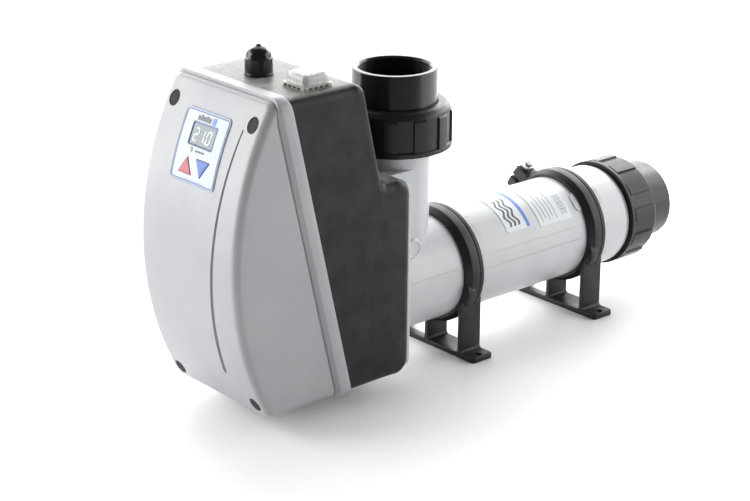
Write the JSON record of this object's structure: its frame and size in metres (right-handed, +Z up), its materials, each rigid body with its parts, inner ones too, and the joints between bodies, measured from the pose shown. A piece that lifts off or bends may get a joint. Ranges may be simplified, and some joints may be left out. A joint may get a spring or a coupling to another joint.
{
  "type": "in-line electric pool water heater",
  "caption": "In-line electric pool heater: control box with panel on a horizontal water tank, riser and end unions, held on two clamp feet.",
  "frame": {"origin": "on the floor, centre of the front foot's underside, below the tank's axis", "axes": "+Z up, +Y along the tank from the control box to the rear union, the control panel faces -Y, +X to the side of the status labels"},
  "size_m": [0.1525, 0.5578, 0.3119],
  "materials": {
    "light_shell": "satin",
    "black_shell": "matte",
    "tank_plastic": "satin",
    "gloss_black": "gloss",
    "black_part": "matte",
    "rubber": "matte",
    "label": "satin",
    "red_key": "satin",
    "blue_key": "satin",
    "lens": "gloss",
    "lamp": "gloss",
    "clear_part": "satin",
    "steel": "zinc plated",
    "titanium": "satin",
    "board": "satin",
    "cream_plastic": "matte"
  },
  "bodies": {
    "base": {"front_cover": "light_shell", "cover_gasket": "rubber", "rear_housing": "black_shell", "control_label": "label", "display_lens": "lens", "display_module": "black_part", "status_lamp": "lamp", "control_board": "board", "switch_frame": "clear_part", "switch_boot": "clear_part", "overheat_cutout": "black_part", "tank_body": "tank_plastic", "brand_panel": "label", "spec_panel": "label", "element_flange": "steel", "element_gasket": "rubber", "sensor_pocket": "titanium", "flow_switch_body": "black_part", "mounting_plate": "steel", "contactor": "cream_plastic", "terminal_block": "black_part", "cable_gland": "black_part", "cover_screw_bottom_left": "steel", "screw_plug_bottom_left": "black_part", "cover_screw_bottom_right": "steel", "screw_plug_bottom_right": "black_part", "cover_screw_top_left": "steel", "screw_plug_top_left": "black_part", "cover_screw_top_right": "steel", "screw_plug_top_right": "black_part", "top_union_sleeve": "gloss_black", "top_union_seal": "rubber", "rear_union_sleeve": "gloss_black", "rear_union_seal": "rubber", "front_foot": "black_part", "front_clamp_strap": "black_part", "front_clamp_bolt": "steel", "front_clamp_nut": "steel", "rear_foot": "black_part", "rear_clamp_strap": "black_part", "rear_clamp_bolt": "steel", "rear_clamp_nut": "steel", "flange_bolt_1": "steel", "flange_bolt_2": "steel", "flange_bolt_3": "steel", "flange_bolt_4": "steel", "heating_element_1": "titanium", "heating_element_2": "titanium", "heating_element_3": "titanium"},
    "top_nut": {"top_union_nut": "black_part"},
    "rear_nut": {"rear_union_nut": "black_part"},
    "up_key": {"up_button": "red_key"},
    "down_key": {"down_button": "blue_key"},
    "rocker": {"switch_rocker": "gloss_black"},
    "cap": {"reset_cap": "gloss_black"},
    "reset": {"reset_button": "red_key"},
    "paddle": {"flow_paddle": "cream_plastic"}
  },
  "joints": [
    {"name": "top_nut_turn", "type": "hinge", "parent": "base", "child": "top_nut", "pos_m": [0, -0.0543, 0.2215], "axis": [0, 0, 1], "continuous": true},
    {"name": "rear_nut_turn", "type": "hinge", "parent": "base", "child": "rear_nut", "pos_m": [0, 0.2285, 0.0777], "axis": [0, 1, 0], "continuous": true},
    {"name": "up_press", "type": "slide", "parent": "base", "child": "up_key", "axis": [0, 0.9548, -0.2973], "range_m": [0, 0.0008], "stiffness_N_per_m": 400},
    {"name": "down_press", "type": "slide", "parent": "base", "child": "down_key", "axis": [0, 0.9548, -0.2973], "range_m": [0, 0.0008], "stiffness_N_per_m": 400},
    {"name": "rocker_tilt", "type": "hinge", "parent": "base", "child": "rocker", "pos_m": [0.041, -0.1853, 0.2845], "axis": [1, 0, 0], "range_deg": [0, 20]},
    {"name": "cap_lift", "type": "slide", "parent": "base", "child": "cap", "axis": [0, 0, 1], "range_m": [0, 0.03]},
    {"name": "reset_press", "type": "slide", "parent": "base", "child": "reset", "axis": [0, 0, -1], "range_m": [0, 0.002], "stiffness_N_per_m": 300},
    {"name": "paddle_swing", "type": "hinge", "parent": "base", "child": "paddle", "pos_m": [0, -0.0823, 0.05], "axis": [1, 0, 0], "range_deg": [0, 35], "stiffness_Nm_per_rad": 0.0005}
  ]
}
